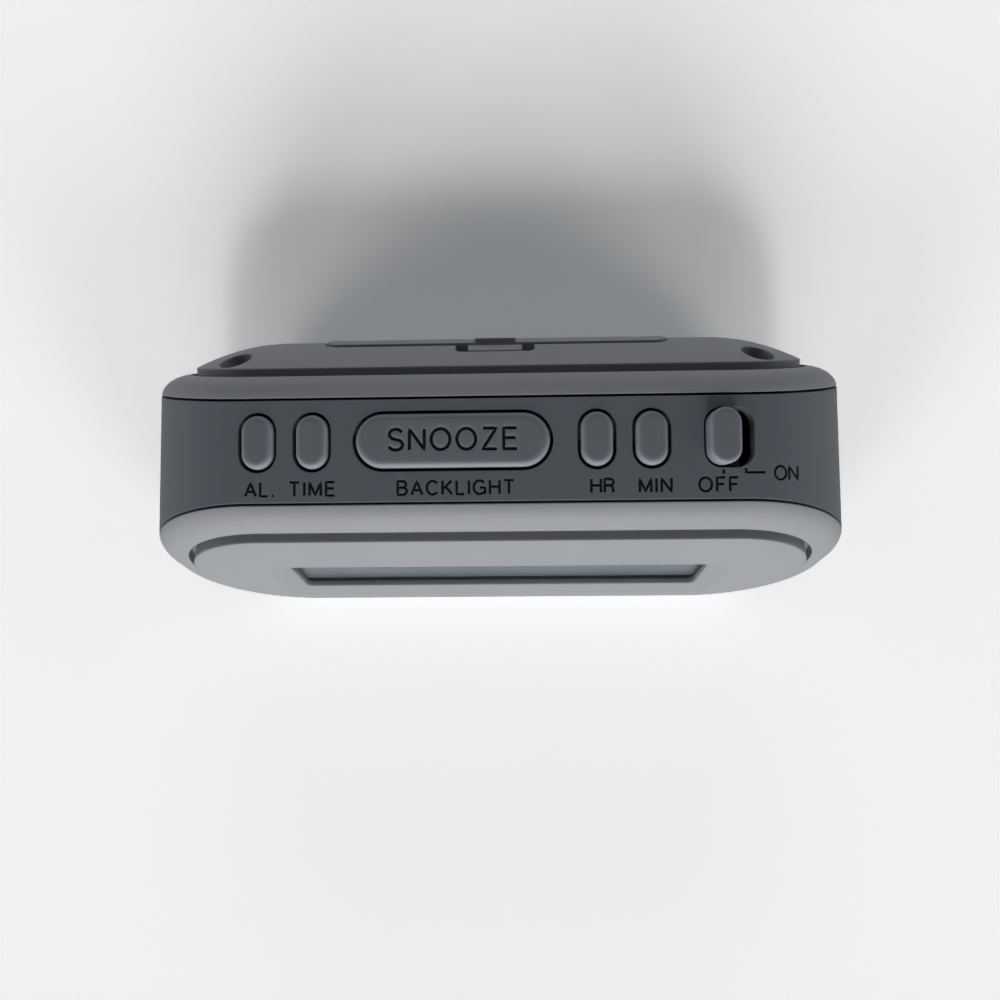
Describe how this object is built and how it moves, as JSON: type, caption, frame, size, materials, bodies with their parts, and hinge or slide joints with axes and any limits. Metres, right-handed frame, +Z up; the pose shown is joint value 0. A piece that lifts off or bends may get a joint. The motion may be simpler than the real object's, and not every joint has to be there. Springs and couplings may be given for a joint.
{
  "type": "digital alarm clock",
  "caption": "Compact grey wedge-shaped desk alarm clock with a liquid crystal display in a bevelled window, stadium keys and a slide switch on top, and a rear battery door.",
  "frame": {"origin": "middle of the flat underside, on the surface the clock stands on", "axes": "+Z up, the display faces -Y, +X to the right of someone reading the display"},
  "size_m": [0.095, 0.0403, 0.0384],
  "materials": {
    "case_plastic": "soft satin moulded grey",
    "face_plastic": "soft satin moulded grey",
    "back_plastic": "soft satin moulded grey",
    "key_plastic": "soft satin moulded grey",
    "clear_window": "clear gloss plastic",
    "display_glass": "grey-green liquid crystal glass",
    "guide_plastic": "frosted clear plastic",
    "lamp_plastic": "pale resin",
    "contact_rubber": "layered conductive rubber",
    "inner_plastic": "dark moulded plastic",
    "circuit_board": "green laminate",
    "screw_steel": "zinc plated steel",
    "black_resin": "black moulded resin",
    "can_metal": "drawn metal can",
    "switch_plastic": "black moulded plastic",
    "battery_jacket": "plain printed jacket without marks",
    "contact_metal": "nickel plated steel"
  },
  "bodies": {
    "case": {"front_shell": "case_plastic", "face_plate": "face_plastic", "window_lens": "clear_window", "lcd_panel": "display_glass", "light_guide": "guide_plastic", "guide_light": "lamp_plastic", "contact_strips": "contact_rubber", "display_frame": "inner_plastic", "main_board": "circuit_board", "board_screws": "screw_steel", "controller_chip": "black_resin", "timing_crystal": "can_metal", "case_band": "case_plastic", "key_switches": "switch_plastic", "slide_switch": "switch_plastic", "key_board": "circuit_board", "key_board_screws": "screw_steel", "rear_shell": "case_plastic", "back_plate": "back_plastic", "case_screws": "screw_steel", "battery_tray": "inner_plastic", "battery_upper": "battery_jacket", "battery_lower": "battery_jacket", "contact_springs": "contact_metal", "contact_tabs": "contact_metal", "sounder": "black_resin"},
    "alarm_key": {"alarm_button": "key_plastic", "alarm_plunger": "switch_plastic"},
    "time_key": {"time_button": "key_plastic", "time_plunger": "switch_plastic"},
    "snooze_key": {"snooze_button": "key_plastic", "snooze_plunger": "switch_plastic"},
    "hour_key": {"hour_button": "key_plastic", "hour_plunger": "switch_plastic"},
    "minute_key": {"minute_button": "key_plastic", "minute_plunger": "switch_plastic"},
    "switch_slider": {"switch_knob": "key_plastic", "switch_lever": "inner_plastic"},
    "door": {"battery_door": "back_plastic"}
  },
  "joints": [
    {"name": "alarm_press", "type": "slide", "parent": "case", "child": "alarm_key", "axis": [0, 0, 1], "range_m": [-0.0005, 0], "stiffness_N_per_m": 400},
    {"name": "time_press", "type": "slide", "parent": "case", "child": "time_key", "axis": [0, 0, 1], "range_m": [-0.0005, 0], "stiffness_N_per_m": 400},
    {"name": "snooze_press", "type": "slide", "parent": "case", "child": "snooze_key", "axis": [0, 0, 1], "range_m": [-0.0005, 0], "stiffness_N_per_m": 400},
    {"name": "hour_press", "type": "slide", "parent": "case", "child": "hour_key", "axis": [0, 0, 1], "range_m": [-0.0005, 0], "stiffness_N_per_m": 400},
    {"name": "minute_press", "type": "slide", "parent": "case", "child": "minute_key", "axis": [0, 0, 1], "range_m": [-0.0005, 0], "stiffness_N_per_m": 400},
    {"name": "switch_travel", "type": "slide", "parent": "case", "child": "switch_slider", "axis": [1, 0, 0], "range_m": [0, 0.0018]},
    {"name": "door_hinge", "type": "hinge", "parent": "case", "child": "door", "pos_m": [0, 0.02084, 0.00822], "axis": [-1, 0, 0], "range_deg": [0, 60]}
  ]
}
